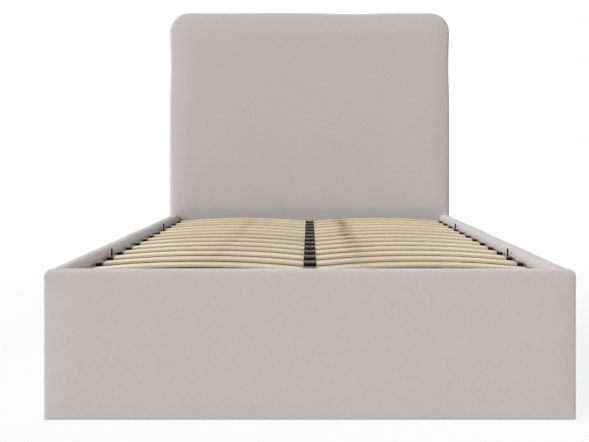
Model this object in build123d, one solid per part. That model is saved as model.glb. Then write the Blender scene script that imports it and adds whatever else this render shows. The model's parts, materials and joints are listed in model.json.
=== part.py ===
from build123d import *
import os

# Ottoman storage bed, small double. Lengths are millimetres. +X is right seen from the foot,
# +Y runs to the headboard, +Z is up, and the origin is the footprint's centre on the floor.

# Overall sizes
BED_WIDTH = 1300.0
INNER_LENGTH = 1914.0
SIDE_HEIGHT = 367.0
GLIDE_HEIGHT = 4.0

# Headboard
HEAD_HEIGHT = 1305.0
HEAD_DEPTH = 80.0
HEAD_CORNER = 93.0
HEAD_FRONT_ROUND = 14.0
HEAD_BACK_ROUND = 6.0
HEAD_SIDE_PINCH = 4.0
HEAD_TOP_SAG = 3.0
HEAD_CROWN = 6.0
HEAD_FOAM = 20.0
HEAD_EDGE_FOAM = 14.0
HEAD_BOARD = 18.0
HEAD_BATTEN_WIDTH = 70.0
HEAD_BATTEN_INSET = 60.0
HEAD_LINING = 1.2

# Footboard
FOOT_DEPTH = 50.0
FOOT_CROWN = 2.0
FOOT_TOP_CORNER = 14.0
FOOT_LOW_CORNER = 10.0
FOOT_EDGE_ROUND = 8.0
FOOT_FOAM = 9.0

# Side rails
RAIL_DEPTH = 43.0
RAIL_CROWN = 1.5
RAIL_TOP_ROUND = 18.0
RAIL_LOW_ROUND = 6.0
RAIL_FOAM = 8.0

# Storage floor
FLOOR_UP = 40.0
FLOOR_SHEET = 6.0
FLOOR_GAP = 2.0
LEDGE_DEPTH = 20.0
LEDGE_HEIGHT = 30.0
BEARER_WIDTH = 40.0
BEARER_HEIGHT = 30.0
BEARER_FOOT_RADIUS = 18.0
GLIDE_RADIUS = 15.0
GLIDE_EDGE = 1.2
GLIDE_INSET = 70.0

# Corner brackets
STEEL = 3.0
BRACKET_LEG = 46.0
BRACKET_HEIGHT = 150.0
BRACKET_UP = 110.0
BRACKET_ROUND = 8.0
BRACKET_BOLT_SHARES = (0.2, 0.8)

# Bolts
BOLT_RADIUS = 4.0
BOLT_HOLE_GAP = 0.3
BOLT_HEAD_RADIUS = 8.0
BOLT_HEAD_HEIGHT = 3.6
BOLT_HEAD_EDGE = 1.8
BOLT_DEPTH = 34.0

# Slat frame
TUBE_WIDTH = 30.0
TUBE_HEIGHT = 34.0
TUBE_WALL = 1.5
TUBE_ROUND = 3.0
TUBE_BELOW_RIM = 32.0
FRAME_SIDE_GAP = 7.0
FRAME_FOOT_GAP = 14.0
FRAME_HEAD_GAP = 24.0
END_PLATE = 2.0
END_PLUG = 10.0
END_PLUG_GAP = 0.3

# Slats and their caps
SLAT_ROWS = 13
SLAT_FIRST = 132.0
SLAT_LAST = 110.0
SLAT_WIDTH = 53.0
SLAT_THICK = 8.0
SLAT_EDGE = 2.4
SLAT_RISE = 15.5
SLAT_END_IN = 6.0
SLAT_END_OUT = 8.0
CAP_FLOOR = 1.8
CAP_WALL = 3.2
CAP_LID = 1.8
CAP_GAP = 0.3
CAP_ROUND = 2.5
SIDE_CAP_LENGTH = 18.0
SIDE_CAP_INSET = 4.0
CENTRE_CAP_LENGTH = 35.0

# Mattress retainers
RETAINER_RADIUS = 3.0
RETAINER_BEND = 7.0
RETAINER_RISE = 30.5
RETAINER_FOOT = 16.0
RETAINER_INSET = 4.0
RETAINER_ROWS = (2, 9)
RETAINER_SHARES = (0.07, 0.07)

# What the frame rests on
REST_BATTEN_DEPTH = 34.0
REST_BATTEN_HEIGHT = 30.0
REST_BATTEN_END = 110.0
REST_GAP = 0.3
BUFFER_RADIUS = 9.0
BUFFER_HEIGHT = 3.7
BUFFER_SIDE = 400.0
REST_BRACKET_BACK = 1250.0
REST_BRACKET_WIDTH = 56.0
REST_BRACKET_DROP = 60.0
REST_BRACKET_REACH = 34.0
REST_BOLT_SPREAD = 16.0
REST_BOLT_DROP = 32.0

# Lift linkage. A back is measured from the headboard's face, an up from the floor, a drop from
# the underside of the slat frame's side tube, and the share is of that underside's height.
ARM_FOOT_BACK = 990.0
ARM_FOOT_SHARE = 0.4153
ARM_HEAD_BACK = 579.0
ARM_HEAD_DROP = 20.0
LINK_FOOT_BACK = 795.0
LINK_FOOT_DROP = 148.0
LINK_HEAD_BACK = 509.0
LINK_HEAD_DROP = 14.0
LINK_EYE_SHIFT = 0.9
LINK_EYE_DROP = 1.6
STRUT_FOOT_BACK = 746.0
STRUT_FOOT_UP = 84.0
STRUT_HEAD_BACK = 850.0
STRUT_HEAD_DROP = 23.0
STRUT_EYE_SHIFT = 0.3
STRUT_EYE_RISE = 1.2

PLATE_MARGIN = 22.0
PLATE_WINDOW = 13.0
LAYER_GAP = 0.5
ARM_THICK = 5.0
ARM_EYE = 13.0
ARM_HALF = 10.0
ARM_WINDOW = 5.0
LUG_EYE = 11.0
LINK_EYE = 12.0
LINK_HALF = 9.0
LINK_OPEN_EYE = 13.0
PIN_RADIUS = 6.0
PIN_FIT = 0.05
PIN_HEAD_RADIUS = 10.0
PIN_HEAD = 2.2
PIN_HEAD_GAP = 0.3
OPEN_PIN_RADIUS = 5.0
OPEN_PIN_PLAY = 2.2
LUG_FOOT_SHARES = (0.22, 0.5)
LUG_WINDOW_SHARE = 0.42
PLATE_BOLT_SHARES = (0.3, 0.65)
PLATE_WINDOW_SHARES = (0.35, 0.65)

# Upper bars, the steel angles that hang the frame on the arms
BAR_BELOW_PIN = 13.0
BAR_MARGIN = 34.0
BAR_TAIL = 120.0
BAR_ROUND = 9.0
SCREW_RADIUS = 2.5
SCREW_HEAD_RADIUS = 5.5
SCREW_HEAD = 2.4
SCREW_LENGTH = 10.0
SCREW_SHARES = (0.08, 0.36, 0.64, 0.92)

# Gas struts
STRUT_INSET = 23.0
CYLINDER_RADIUS = 11.0
CYLINDER_WALL = 1.5
CYLINDER_START = 16.0
CYLINDER_LENGTH = 136.0
CYLINDER_NOSE = 8.0
CYLINDER_EDGE = 1.5
PISTON_GAP = 0.1
PISTON_LENGTH = 6.0
ROD_RADIUS = 5.0
ROD_TAIL = 34.0
NECK_RADIUS = 5.0
STRUT_EYE = 11.0
EYE_THICK = 11.0
STUD_RADIUS = 5.0
STUD_COLLAR = 8.0
STUD_HEAD_RADIUS = 8.5
STUD_OPEN_PLAY = 1.6

CUT = 1.0

# Places that follow from the sizes
HALF_WIDTH = BED_WIDTH / 2
FOOT_FRONT = -(FOOT_DEPTH + INNER_LENGTH + HEAD_DEPTH) / 2
FOOT_INNER = FOOT_FRONT + FOOT_DEPTH
HEAD_FACE = FOOT_INNER + INNER_LENGTH
HEAD_BACK = HEAD_FACE + HEAD_DEPTH
RAIL_INNER = HALF_WIDTH - RAIL_DEPTH
TUBE_TOP = SIDE_HEIGHT - TUBE_BELOW_RIM
TUBE_UNDER = TUBE_TOP - TUBE_HEIGHT
TUBE_OUT = RAIL_INNER - FRAME_SIDE_GAP
TUBE_IN = TUBE_OUT - TUBE_WIDTH
TUBE_MID = (TUBE_OUT + TUBE_IN) / 2
FRAME_FOOT = FOOT_INNER + FRAME_FOOT_GAP
FRAME_HEAD = HEAD_FACE - FRAME_HEAD_GAP
END_TUBE_FOOT = FRAME_FOOT + END_PLATE
END_TUBE_HEAD = FRAME_HEAD - END_PLATE
SLAT_OUT = TUBE_OUT - SLAT_END_OUT
SLAT_UNDER = TUBE_TOP + CAP_FLOOR
SLAT_PITCH = (FRAME_HEAD - SLAT_LAST - FRAME_FOOT - SLAT_FIRST) / (SLAT_ROWS - 1)
REST_TOP = TUBE_UNDER - REST_GAP - BUFFER_HEIGHT
REST_BRACKET_Y = HEAD_FACE - REST_BRACKET_BACK

# Pivots as points in Y and Z
ARM_FOOT = (HEAD_FACE - ARM_FOOT_BACK, TUBE_UNDER * ARM_FOOT_SHARE)
ARM_HEAD = (HEAD_FACE - ARM_HEAD_BACK, TUBE_UNDER - ARM_HEAD_DROP)
LINK_FOOT = (HEAD_FACE - LINK_FOOT_BACK, TUBE_UNDER - LINK_FOOT_DROP)
LINK_PIN = (HEAD_FACE - LINK_HEAD_BACK, TUBE_UNDER - LINK_HEAD_DROP)
LINK_HEAD = (LINK_PIN[0] + LINK_EYE_SHIFT, LINK_PIN[1] - LINK_EYE_DROP)
STRUT_FOOT = (HEAD_FACE - STRUT_FOOT_BACK, STRUT_FOOT_UP)
STRUT_STUD = (HEAD_FACE - STRUT_HEAD_BACK, TUBE_UNDER - STRUT_HEAD_DROP)
STRUT_HEAD = (STRUT_STUD[0] + STRUT_EYE_SHIFT, STRUT_STUD[1] + STRUT_EYE_RISE)

# Layers of the linkage, counted inwards from the rail
PLATE_FACE = RAIL_INNER - STEEL
ARM_OUT = PLATE_FACE - LAYER_GAP
ARM_IN = ARM_OUT - ARM_THICK
BAR_OUT = ARM_IN - LAYER_GAP
BAR_IN = BAR_OUT - STEEL
STRUT_MID = RAIL_INNER - STRUT_INSET
EYE_OUT = STRUT_MID + EYE_THICK / 2
EYE_IN = STRUT_MID - EYE_THICK / 2

os.makedirs("parts", exist_ok=True)


def save(name, *solids):
    """Writes one node: one solid, or a group of separate solids."""
    shape = solids[0] if len(solids) == 1 else Compound(children=list(solids))
    export_step(shape, f"parts/{name}.step")


def span(xs, ys, zs):
    """A block between two values on each axis."""
    middle = [(a + b) / 2 for a, b in (xs, ys, zs)]
    return Pos(*middle) * Box(*[abs(b - a) for a, b in (xs, ys, zs)])


def left(solid):
    """The left-hand twin of a right-hand piece."""
    return mirror(solid, about=Plane.YZ)


def both(solid):
    return [solid, left(solid)]


def along(start, end, share):
    """The point at a share of the way between two points."""
    return tuple(a + (b - a) * share for a, b in zip(start, end))


def spot(centre, radius):
    return Pos(*centre) * Circle(radius)


def belt(*spots):
    """The outline of a belt round several discs."""
    return make_hull(Sketch(children=list(spots)).edges())


def sheet(face, x_in, x_out):
    """A flat piece along the rail, from a face drawn in Y and Z."""
    return extrude(Plane.YZ.offset(x_in) * face, x_out - x_in)


def round_bar(centre, radius, x_in, x_out):
    """A round piece along X about a point in Y and Z."""
    return sheet(spot(centre, radius), x_in, x_out)


def across(face, y_from, y_to):
    """A piece along Y, from a face drawn in X and Z."""
    return extrude(Plane.XZ.offset(-y_to) * face, y_to - y_from)


# Bolts that hold the steel to the boards

def bolt_frame(seat, direction):
    """A plane at a bolt's seat whose Z runs into the board."""
    return Plane(origin=seat, z_dir=direction)


def bolt_seats():
    """Seat and direction of each right-hand base bolt."""
    seats = []
    leg = (BRACKET_LEG + STEEL) / 2
    for face, inwards in ((FOOT_INNER, 1), (HEAD_FACE, -1)):
        for share in BRACKET_BOLT_SHARES:
            z = BRACKET_UP + BRACKET_HEIGHT * share
            seats.append(((PLATE_FACE, face + inwards * leg, z), (1, 0, 0)))
            seats.append(((RAIL_INNER - leg, face + inwards * STEEL, z), (0, -inwards, 0)))
    for y, z in plate_bolts() + rest_bolts():
        seats.append(((PLATE_FACE, y, z), (1, 0, 0)))
    return seats


def plate_bolts():
    """Bolt centres of the hinge plate, below the arms' sweep."""
    return [along(ARM_FOOT, STRUT_FOOT, share) for share in PLATE_BOLT_SHARES] + [
        along(LINK_FOOT, STRUT_FOOT, PLATE_BOLT_SHARES[-1])]


def rest_bolts():
    return [(REST_BRACKET_Y + side * REST_BOLT_SPREAD, REST_TOP - REST_BOLT_DROP) for side in (-1, 1)]


def base_bolt(seat, direction):
    """A low-headed bolt, its shank sunk in the board behind the steel."""
    head = Cylinder(BOLT_HEAD_RADIUS, BOLT_HEAD_HEIGHT, align=(Align.CENTER, Align.CENTER, Align.MAX))
    head = chamfer(head.edges().sort_by(Axis.Z)[0], BOLT_HEAD_EDGE)
    shank = Cylinder(BOLT_RADIUS, BOLT_DEPTH, align=(Align.CENTER, Align.CENTER, Align.MIN))
    return bolt_frame(seat, direction) * (head + shank)


def drilled(solid, seats):
    """The solid with the bolts' clearance holes cut where they cross it."""
    for seat, direction in seats:
        hole = Cylinder(BOLT_RADIUS + BOLT_HOLE_GAP, BOLT_DEPTH + 2 * CUT)
        solid -= bolt_frame(seat, direction) * Pos(0, 0, BOLT_DEPTH / 2) * hole
    return solid


def seats_into(direction):
    return [seat for seat in bolt_seats() if seat[1] == direction]


def mirrored_seats(seats):
    return [((-s[0], s[1], s[2]), (-d[0], d[1], d[2])) for s, d in seats]


def base_bolts():
    right = [base_bolt(*seat) for seat in bolt_seats()]
    return right + [left(bolt) for bolt in right]


# Headboard

def headboard_outline(inset):
    """Front view of the headboard: softly waisted sides, round top corners."""
    half = HALF_WIDTH - inset
    low = GLIDE_HEIGHT + inset
    top = HEAD_HEIGHT - inset
    corner = HEAD_CORNER - inset
    shoulder = top - corner
    waist = (SIDE_HEIGHT + shoulder) / 2
    with BuildSketch() as face:
        with BuildLine():
            Line((0, low), (half, low))
            Line((half, low), (half, SIDE_HEIGHT))
            Spline((half, SIDE_HEIGHT), (half - HEAD_SIDE_PINCH, waist), (half, shoulder),
                   tangents=[(0, 1), (0, 1)])
            RadiusArc((half, shoulder), (half - corner, top), -corner)
            Spline((half - corner, top), (0, top - HEAD_TOP_SAG), tangents=[(-1, 0), (-1, 0)])
            Line((0, top - HEAD_TOP_SAG), (0, low))
        make_face()
        mirror(about=Plane.YZ)
    return face.sketch


def headboard_side():
    """Side view that trims the padding's front to its crown above the rails."""
    low = GLIDE_HEIGHT - CUT
    top = HEAD_HEIGHT + CUT
    back = HEAD_BACK + CUT
    with BuildSketch() as face:
        with BuildLine():
            Polyline((HEAD_FACE, SIDE_HEIGHT), (HEAD_FACE, low), (back, low), (back, top),
                     (HEAD_FACE, top))
            ThreePointArc((HEAD_FACE, SIDE_HEIGHT),
                          (HEAD_FACE - HEAD_CROWN, (SIDE_HEIGHT + HEAD_HEIGHT) / 2),
                          (HEAD_FACE, top))
        make_face()
    return face.sketch


def headboard_edges(body, front):
    """The outer edges of the front or the back, without those at the floor."""
    def outer(edge):
        place = edge.center()
        return abs(place.X) > HALF_WIDTH - HEAD_CORNER or place.Z > HEAD_HEIGHT - HEAD_CORNER
    if front:
        return [e for e in body.edges() if e.center().Y < HEAD_FACE + CUT and outer(e)]
    return [e for e in body.edges() if e.center().Y > HEAD_BACK - CUT and outer(e)]


def headboard_padding():
    body = across(headboard_outline(0), HEAD_FACE - HEAD_CROWN - CUT, HEAD_BACK)
    body &= sheet(headboard_side(), -HALF_WIDTH - CUT, HALF_WIDTH + CUT)
    body = fillet(headboard_edges(body, True), HEAD_FRONT_ROUND)
    body = fillet(headboard_edges(body, False), HEAD_BACK_ROUND)
    body -= across(headboard_outline(HEAD_EDGE_FOAM), HEAD_FACE + HEAD_FOAM, HEAD_BACK + CUT)
    seats = seats_into((0, 1, 0))
    return drilled(body, seats + mirrored_seats(seats))


def headboard_board():
    face = HEAD_FACE + HEAD_FOAM
    seats = seats_into((0, 1, 0))
    board = across(headboard_outline(HEAD_EDGE_FOAM), face, face + HEAD_BOARD)
    return drilled(board, seats + mirrored_seats(seats))


def headboard_battens():
    """Two uprights and a top rail behind the board, as deep as the space to the lining."""
    ys = (HEAD_FACE + HEAD_FOAM + HEAD_BOARD, HEAD_BACK - HEAD_LINING)
    outside = HALF_WIDTH - HEAD_BATTEN_INSET
    inside = outside - HEAD_BATTEN_WIDTH
    top = HEAD_HEIGHT - HEAD_BATTEN_INSET
    upright = span((inside, outside), ys, (GLIDE_HEIGHT + HEAD_EDGE_FOAM, top))
    rail = span((-inside, inside), ys, (top - HEAD_BATTEN_WIDTH, top))
    return both(upright) + [rail]


def headboard_back_lining():
    return across(headboard_outline(HEAD_EDGE_FOAM), HEAD_BACK - HEAD_LINING, HEAD_BACK)


# Footboard

def footboard_outline():
    with BuildSketch() as face:
        with BuildLine():
            Polyline((-HALF_WIDTH, GLIDE_HEIGHT), (HALF_WIDTH, GLIDE_HEIGHT),
                     (HALF_WIDTH, SIDE_HEIGHT), (-HALF_WIDTH, SIDE_HEIGHT), close=True)
        make_face()
        corners = face.vertices().sort_by(Axis.Y)
        fillet(corners[2:], FOOT_TOP_CORNER)
        fillet(face.vertices().sort_by(Axis.Y)[:2], FOOT_LOW_CORNER)
    return face.sketch


def footboard_plan():
    """Top view that trims the padding's front to its crown."""
    side = HALF_WIDTH + CUT
    back = FOOT_INNER + CUT
    with BuildSketch() as face:
        with BuildLine():
            Polyline((side, FOOT_FRONT + FOOT_CROWN), (side, back), (-side, back),
                     (-side, FOOT_FRONT + FOOT_CROWN))
            ThreePointArc((-side, FOOT_FRONT + FOOT_CROWN), (0, FOOT_FRONT),
                          (side, FOOT_FRONT + FOOT_CROWN))
        make_face()
    return face.sketch


def footboard_core(overrun=0.0):
    return span((-HALF_WIDTH + FOOT_FOAM, HALF_WIDTH - FOOT_FOAM),
                (FOOT_FRONT + FOOT_FOAM, FOOT_INNER - FOOT_FOAM),
                (GLIDE_HEIGHT - overrun, SIDE_HEIGHT - FOOT_FOAM))


def footboard_padding():
    body = across(footboard_outline(), FOOT_FRONT - CUT, FOOT_INNER)
    body &= extrude(footboard_plan(), SIDE_HEIGHT + CUT)
    front = body.faces().sort_by(Axis.Y)[0]
    body = fillet(front.edges(), FOOT_EDGE_ROUND)
    body -= footboard_core(CUT)
    seats = seats_into((0, -1, 0))
    return drilled(body, seats + mirrored_seats(seats))


def footboard_board():
    seats = seats_into((0, -1, 0))
    return drilled(footboard_core(), seats + mirrored_seats(seats))


# Side rails, right-hand

def rail_section():
    """Section of the padding: flat inside, crowned outside, round along the top."""
    crown_x = HALF_WIDTH - RAIL_CROWN
    with BuildSketch() as face:
        with BuildLine():
            Polyline((crown_x, GLIDE_HEIGHT), (RAIL_INNER, GLIDE_HEIGHT),
                     (RAIL_INNER, SIDE_HEIGHT), (crown_x, SIDE_HEIGHT))
            ThreePointArc((crown_x, SIDE_HEIGHT), (HALF_WIDTH, (SIDE_HEIGHT + GLIDE_HEIGHT) / 2),
                          (crown_x, GLIDE_HEIGHT))
        make_face()
        fillet(face.vertices().sort_by(Axis.Y)[2:], RAIL_TOP_ROUND)
        fillet(face.vertices().sort_by(Axis.Y)[:2], RAIL_LOW_ROUND)
    return face.sketch


def rail_core():
    return span((RAIL_INNER + RAIL_FOAM, HALF_WIDTH - RAIL_CROWN - RAIL_FOAM),
                (FOOT_INNER, HEAD_FACE), (GLIDE_HEIGHT + RAIL_FOAM, SIDE_HEIGHT - RAIL_FOAM))


def rail_padding():
    body = across(rail_section(), FOOT_INNER, HEAD_FACE) - rail_core()
    return drilled(body, seats_into((1, 0, 0)))


def rail_board():
    return drilled(rail_core(), seats_into((1, 0, 0)))


# Storage floor

def floor_ledge():
    return span((RAIL_INNER - LEDGE_DEPTH, RAIL_INNER), (FOOT_INNER, HEAD_FACE),
                (FLOOR_UP - LEDGE_HEIGHT, FLOOR_UP))


def centre_bearer():
    return span((-BEARER_WIDTH / 2, BEARER_WIDTH / 2), (FOOT_INNER, HEAD_FACE),
                (FLOOR_UP - BEARER_HEIGHT, FLOOR_UP))


def floor_panel(index, count):
    """One of the loose hardboard sheets that make the storage floor."""
    pitch = INNER_LENGTH / count
    start = FOOT_INNER + index * pitch
    return span((-RAIL_INNER, RAIL_INNER), (start + FLOOR_GAP / 2, start + pitch - FLOOR_GAP / 2),
                (FLOOR_UP, FLOOR_UP + FLOOR_SHEET))


def foot_disc(x, y, radius, height):
    disc = Cylinder(radius, height, align=(Align.CENTER, Align.CENTER, Align.MIN))
    return Pos(x, y, 0) * chamfer(disc.edges().sort_by(Axis.Z)[0], GLIDE_EDGE)


def floor_glides():
    """Nylon glides under the boards and rails, and taller feet under the bearer."""
    side = HALF_WIDTH - GLIDE_INSET
    foot_y = FOOT_FRONT + FOOT_DEPTH / 2
    head_y = HEAD_FACE + HEAD_FOAM + HEAD_BOARD / 2
    rail_x = HALF_WIDTH - RAIL_DEPTH / 2
    places = [(x, y) for y in (foot_y, head_y) for x in (-side, 0, side)]
    places += [(-rail_x, 0), (rail_x, 0)]
    glides = [foot_disc(x, y, GLIDE_RADIUS, GLIDE_HEIGHT) for x, y in places]
    rise = FLOOR_UP - BEARER_HEIGHT
    middle = (FOOT_INNER + HEAD_FACE) / 2
    feet = [foot_disc(0, middle + INNER_LENGTH * share, BEARER_FOOT_RADIUS, rise)
            for share in (-1 / 4, 1 / 4)]
    return glides + feet


# Corner brackets and frame rests, right-hand

def corner_bracket(face, inwards):
    """A steel angle between a rail and a board, with its free corners rounded."""
    legs = [(RAIL_INNER - BRACKET_LEG, RAIL_INNER), (face, face + inwards * BRACKET_LEG)]
    zs = (BRACKET_UP, BRACKET_UP + BRACKET_HEIGHT)
    along_board = span(legs[0], (face, face + inwards * STEEL), zs)
    along_rail = span((PLATE_FACE, RAIL_INNER), legs[1], zs)
    body = along_board + along_rail
    free = [e for e in body.edges().filter_by(Axis.Y) if e.center().X < legs[0][0] + CUT]
    free += [e for e in body.edges().filter_by(Axis.X)
             if abs(e.center().Y - legs[1][1]) < CUT]
    seats = [s for s in bolt_seats() if abs(s[0][1] - face) < BRACKET_LEG]
    return drilled(fillet(free, BRACKET_ROUND), seats)


def rest_bracket():
    """A steel shelf on the rail, ribbed between its two bolts, that a buffer sits on."""
    ys = (REST_BRACKET_Y - REST_BRACKET_WIDTH / 2, REST_BRACKET_Y + REST_BRACKET_WIDTH / 2)
    tip = RAIL_INNER - REST_BRACKET_REACH
    upright = span((PLATE_FACE, RAIL_INNER), ys, (REST_TOP - REST_BRACKET_DROP, REST_TOP))
    shelf = span((tip, RAIL_INNER), ys, (REST_TOP - STEEL, REST_TOP))
    rib = make_face(Polyline((PLATE_FACE, REST_TOP - STEEL), (tip + STEEL, REST_TOP - STEEL),
                             (PLATE_FACE, REST_TOP - REST_BRACKET_DROP + STEEL), close=True))
    rib = across(rib, REST_BRACKET_Y - STEEL / 2, REST_BRACKET_Y + STEEL / 2)
    seats = [s for s in bolt_seats() if abs(s[0][1] - REST_BRACKET_Y) < REST_BRACKET_WIDTH / 2]
    return drilled(upright + shelf + rib, seats)


def foot_rest_batten():
    reach = TUBE_IN - REST_BATTEN_END
    return span((-reach, reach), (FOOT_INNER, FOOT_INNER + REST_BATTEN_DEPTH),
                (REST_TOP - REST_BATTEN_HEIGHT, REST_TOP))


def rest_buffers():
    """Rubber buffers: two under the foot tube, one under each side tube."""
    foot_y = (END_TUBE_FOOT + FOOT_INNER + REST_BATTEN_DEPTH) / 2
    places = [(BUFFER_SIDE, foot_y), (-BUFFER_SIDE, foot_y),
              (TUBE_MID, REST_BRACKET_Y), (-TUBE_MID, REST_BRACKET_Y)]
    buffer = Cylinder(BUFFER_RADIUS, BUFFER_HEIGHT, align=(Align.CENTER, Align.CENTER, Align.MIN))
    return [Pos(x, y, REST_TOP) * buffer for x, y in places]


# Lift linkage, right-hand

def hinge_plate():
    """The pressed plate on the rail that carries the arms and the strut."""
    outline = belt(spot(ARM_FOOT, PLATE_MARGIN), spot(LINK_FOOT, PLATE_MARGIN),
                   spot(STRUT_FOOT, PLATE_MARGIN))
    windows = [spot(along(ARM_FOOT, LINK_FOOT, share), PLATE_WINDOW)
               for share in PLATE_WINDOW_SHARES]
    outline -= belt(*windows)
    plate = sheet(outline, PLATE_FACE, RAIL_INNER)
    for centre, radius in ((ARM_FOOT, PIN_RADIUS), (LINK_FOOT, PIN_RADIUS), (STRUT_FOOT, STUD_RADIUS)):
        plate -= round_bar(centre, radius + PIN_FIT, PLATE_FACE - CUT, RAIL_INNER + CUT)
    seats = [((PLATE_FACE, y, z), (1, 0, 0)) for y, z in plate_bolts()]
    return drilled(plate, seats)


def front_arm():
    """The long arm, with the lug that the gas strut pushes."""
    roots = [along(ARM_FOOT, ARM_HEAD, share) for share in LUG_FOOT_SHARES]
    corners = [STRUT_STUD] + roots
    middle = tuple(sum(values) / len(corners) for values in zip(*corners))
    face = belt(spot(ARM_FOOT, ARM_HALF), spot(ARM_HEAD, ARM_HALF))
    face += spot(ARM_FOOT, ARM_EYE) + spot(ARM_HEAD, ARM_EYE)
    face += belt(spot(STRUT_STUD, LUG_EYE), *[spot(root, ARM_HALF) for root in roots])
    face -= belt(*[spot(along(middle, c, LUG_WINDOW_SHARE), ARM_WINDOW) for c in corners])
    face -= spot(ARM_FOOT, PIN_RADIUS + PIN_FIT) + spot(ARM_HEAD, PIN_RADIUS + PIN_FIT)
    return sheet(face, ARM_IN, ARM_OUT)


def rear_arm():
    """The short arm. Its upper eye is the pivot that the tree of joints leaves open."""
    face = belt(spot(LINK_FOOT, LINK_HALF), spot(LINK_HEAD, LINK_HALF))
    face += spot(LINK_FOOT, LINK_EYE) + spot(LINK_HEAD, LINK_OPEN_EYE)
    face -= spot(LINK_FOOT, PIN_RADIUS + PIN_FIT)
    face -= spot(LINK_HEAD, OPEN_PIN_RADIUS + OPEN_PIN_PLAY)
    return sheet(face, ARM_IN, ARM_OUT)


def lower_pin(centre):
    """A headed pin through the hinge plate and an arm."""
    shaft = round_bar(centre, PIN_RADIUS, ARM_IN - PIN_HEAD_GAP, RAIL_INNER)
    head = round_bar(centre, PIN_HEAD_RADIUS, ARM_IN - PIN_HEAD_GAP - PIN_HEAD, ARM_IN - PIN_HEAD_GAP)
    return shaft + head


def upper_pin(centre, radius):
    """A pin through the upper bar and an arm, headed on both sides."""
    shaft = round_bar(centre, radius, BAR_IN, ARM_OUT + PIN_HEAD_GAP)
    outer = round_bar(centre, PIN_HEAD_RADIUS, ARM_OUT + PIN_HEAD_GAP, ARM_OUT + PIN_HEAD_GAP + PIN_HEAD)
    inner = round_bar(centre, PIN_HEAD_RADIUS, BAR_IN - PIN_HEAD, BAR_IN)
    return shaft + outer + inner


def stud(centre, base, x_base):
    """A collared, headed stud for a strut's eye, standing on the face at x_base."""
    inner = EYE_IN - PIN_HEAD_GAP
    shaft = round_bar(centre, STUD_RADIUS, inner, base)
    collar = round_bar(centre, STUD_COLLAR, EYE_OUT + PIN_HEAD_GAP, x_base)
    head = round_bar(centre, STUD_HEAD_RADIUS, inner - PIN_HEAD, inner)
    return shaft + collar + head


def bar_ends():
    return ARM_HEAD[0] - BAR_MARGIN, LINK_PIN[0] + BAR_TAIL


def screw_places():
    start, end = bar_ends()
    return [((TUBE_IN + BAR_IN) / 2, start + (end - start) * share) for share in SCREW_SHARES]


def screw_holes(solid):
    for x, y in screw_places():
        hole = Cylinder(SCREW_RADIUS + BOLT_HOLE_GAP, 2 * (STEEL + TUBE_WALL + CUT))
        solid -= Pos(x, y, TUBE_UNDER) * hole
    return solid


def upper_bar():
    """The steel angle under the side tube, with the arms' upper pivots in its flange."""
    start, end = bar_ends()
    low = min(ARM_HEAD[1], LINK_PIN[1]) - BAR_BELOW_PIN
    with BuildSketch() as face:
        with BuildLine():
            Polyline((start, low), (end, low), (end, TUBE_UNDER), (start, TUBE_UNDER), close=True)
        make_face()
        fillet(face.vertices().sort_by(Axis.Y)[:2], BAR_ROUND)
    flange = sheet(face.sketch, BAR_IN, BAR_OUT)
    seat = span((TUBE_IN, BAR_OUT), (start, end), (TUBE_UNDER - STEEL, TUBE_UNDER))
    body = flange + seat
    for centre, radius in ((ARM_HEAD, PIN_RADIUS), (LINK_PIN, OPEN_PIN_RADIUS)):
        body -= round_bar(centre, radius + PIN_FIT, BAR_IN - CUT, BAR_OUT + CUT)
    return screw_holes(body)


def upper_bar_screws():
    screws = []
    for x, y in screw_places():
        head = Cylinder(SCREW_HEAD_RADIUS, SCREW_HEAD, align=(Align.CENTER, Align.CENTER, Align.MAX))
        shank = Cylinder(SCREW_RADIUS, SCREW_LENGTH, align=(Align.CENTER, Align.CENTER, Align.MIN))
        screws += both(Pos(x, y, TUBE_UNDER - STEEL) * (head + shank))
    return screws


# Gas struts, drawn along Z and laid between their pivots

def strut_frame():
    return Plane(origin=(STRUT_MID, *STRUT_FOOT), x_dir=(1, 0, 0),
                 z_dir=(0, STRUT_HEAD[0] - STRUT_FOOT[0], STRUT_HEAD[1] - STRUT_FOOT[1]))


def strut_length():
    return sum((a - b) ** 2 for a, b in zip(STRUT_HEAD, STRUT_FOOT)) ** 0.5


def strut_eye(height, hole):
    """An eye across X at a height on the strut."""
    eye = Cylinder(STRUT_EYE, EYE_THICK, rotation=(0, 90, 0))
    return Pos(0, 0, height) * eye, Pos(0, 0, height) * Cylinder(hole, EYE_THICK + CUT, rotation=(0, 90, 0))


def turned(points):
    """A round solid about Z, from the radii and heights of half its section."""
    half = make_face(Polyline(*points, close=True))
    return revolve(Plane.XZ * half, Axis.Z)


def strut_cylinder():
    top = CYLINDER_START + CYLINDER_LENGTH
    bore = CYLINDER_RADIUS - CYLINDER_WALL
    gland = ROD_RADIUS + PIN_FIT
    tube = turned([(0, CYLINDER_START), (CYLINDER_RADIUS, CYLINDER_START),
                   (CYLINDER_RADIUS, top - CYLINDER_EDGE), (CYLINDER_RADIUS - CYLINDER_EDGE, top),
                   (gland, top), (gland, top - CYLINDER_NOSE), (bore, top - CYLINDER_NOSE),
                   (bore, CYLINDER_START + CYLINDER_WALL), (0, CYLINDER_START + CYLINDER_WALL)])
    neck = turned([(0, 0), (NECK_RADIUS, 0), (NECK_RADIUS, CYLINDER_START), (0, CYLINDER_START)])
    eye, hole = strut_eye(0, STUD_RADIUS + PIN_FIT)
    return strut_frame() * (tube + neck + eye - hole)


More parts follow.
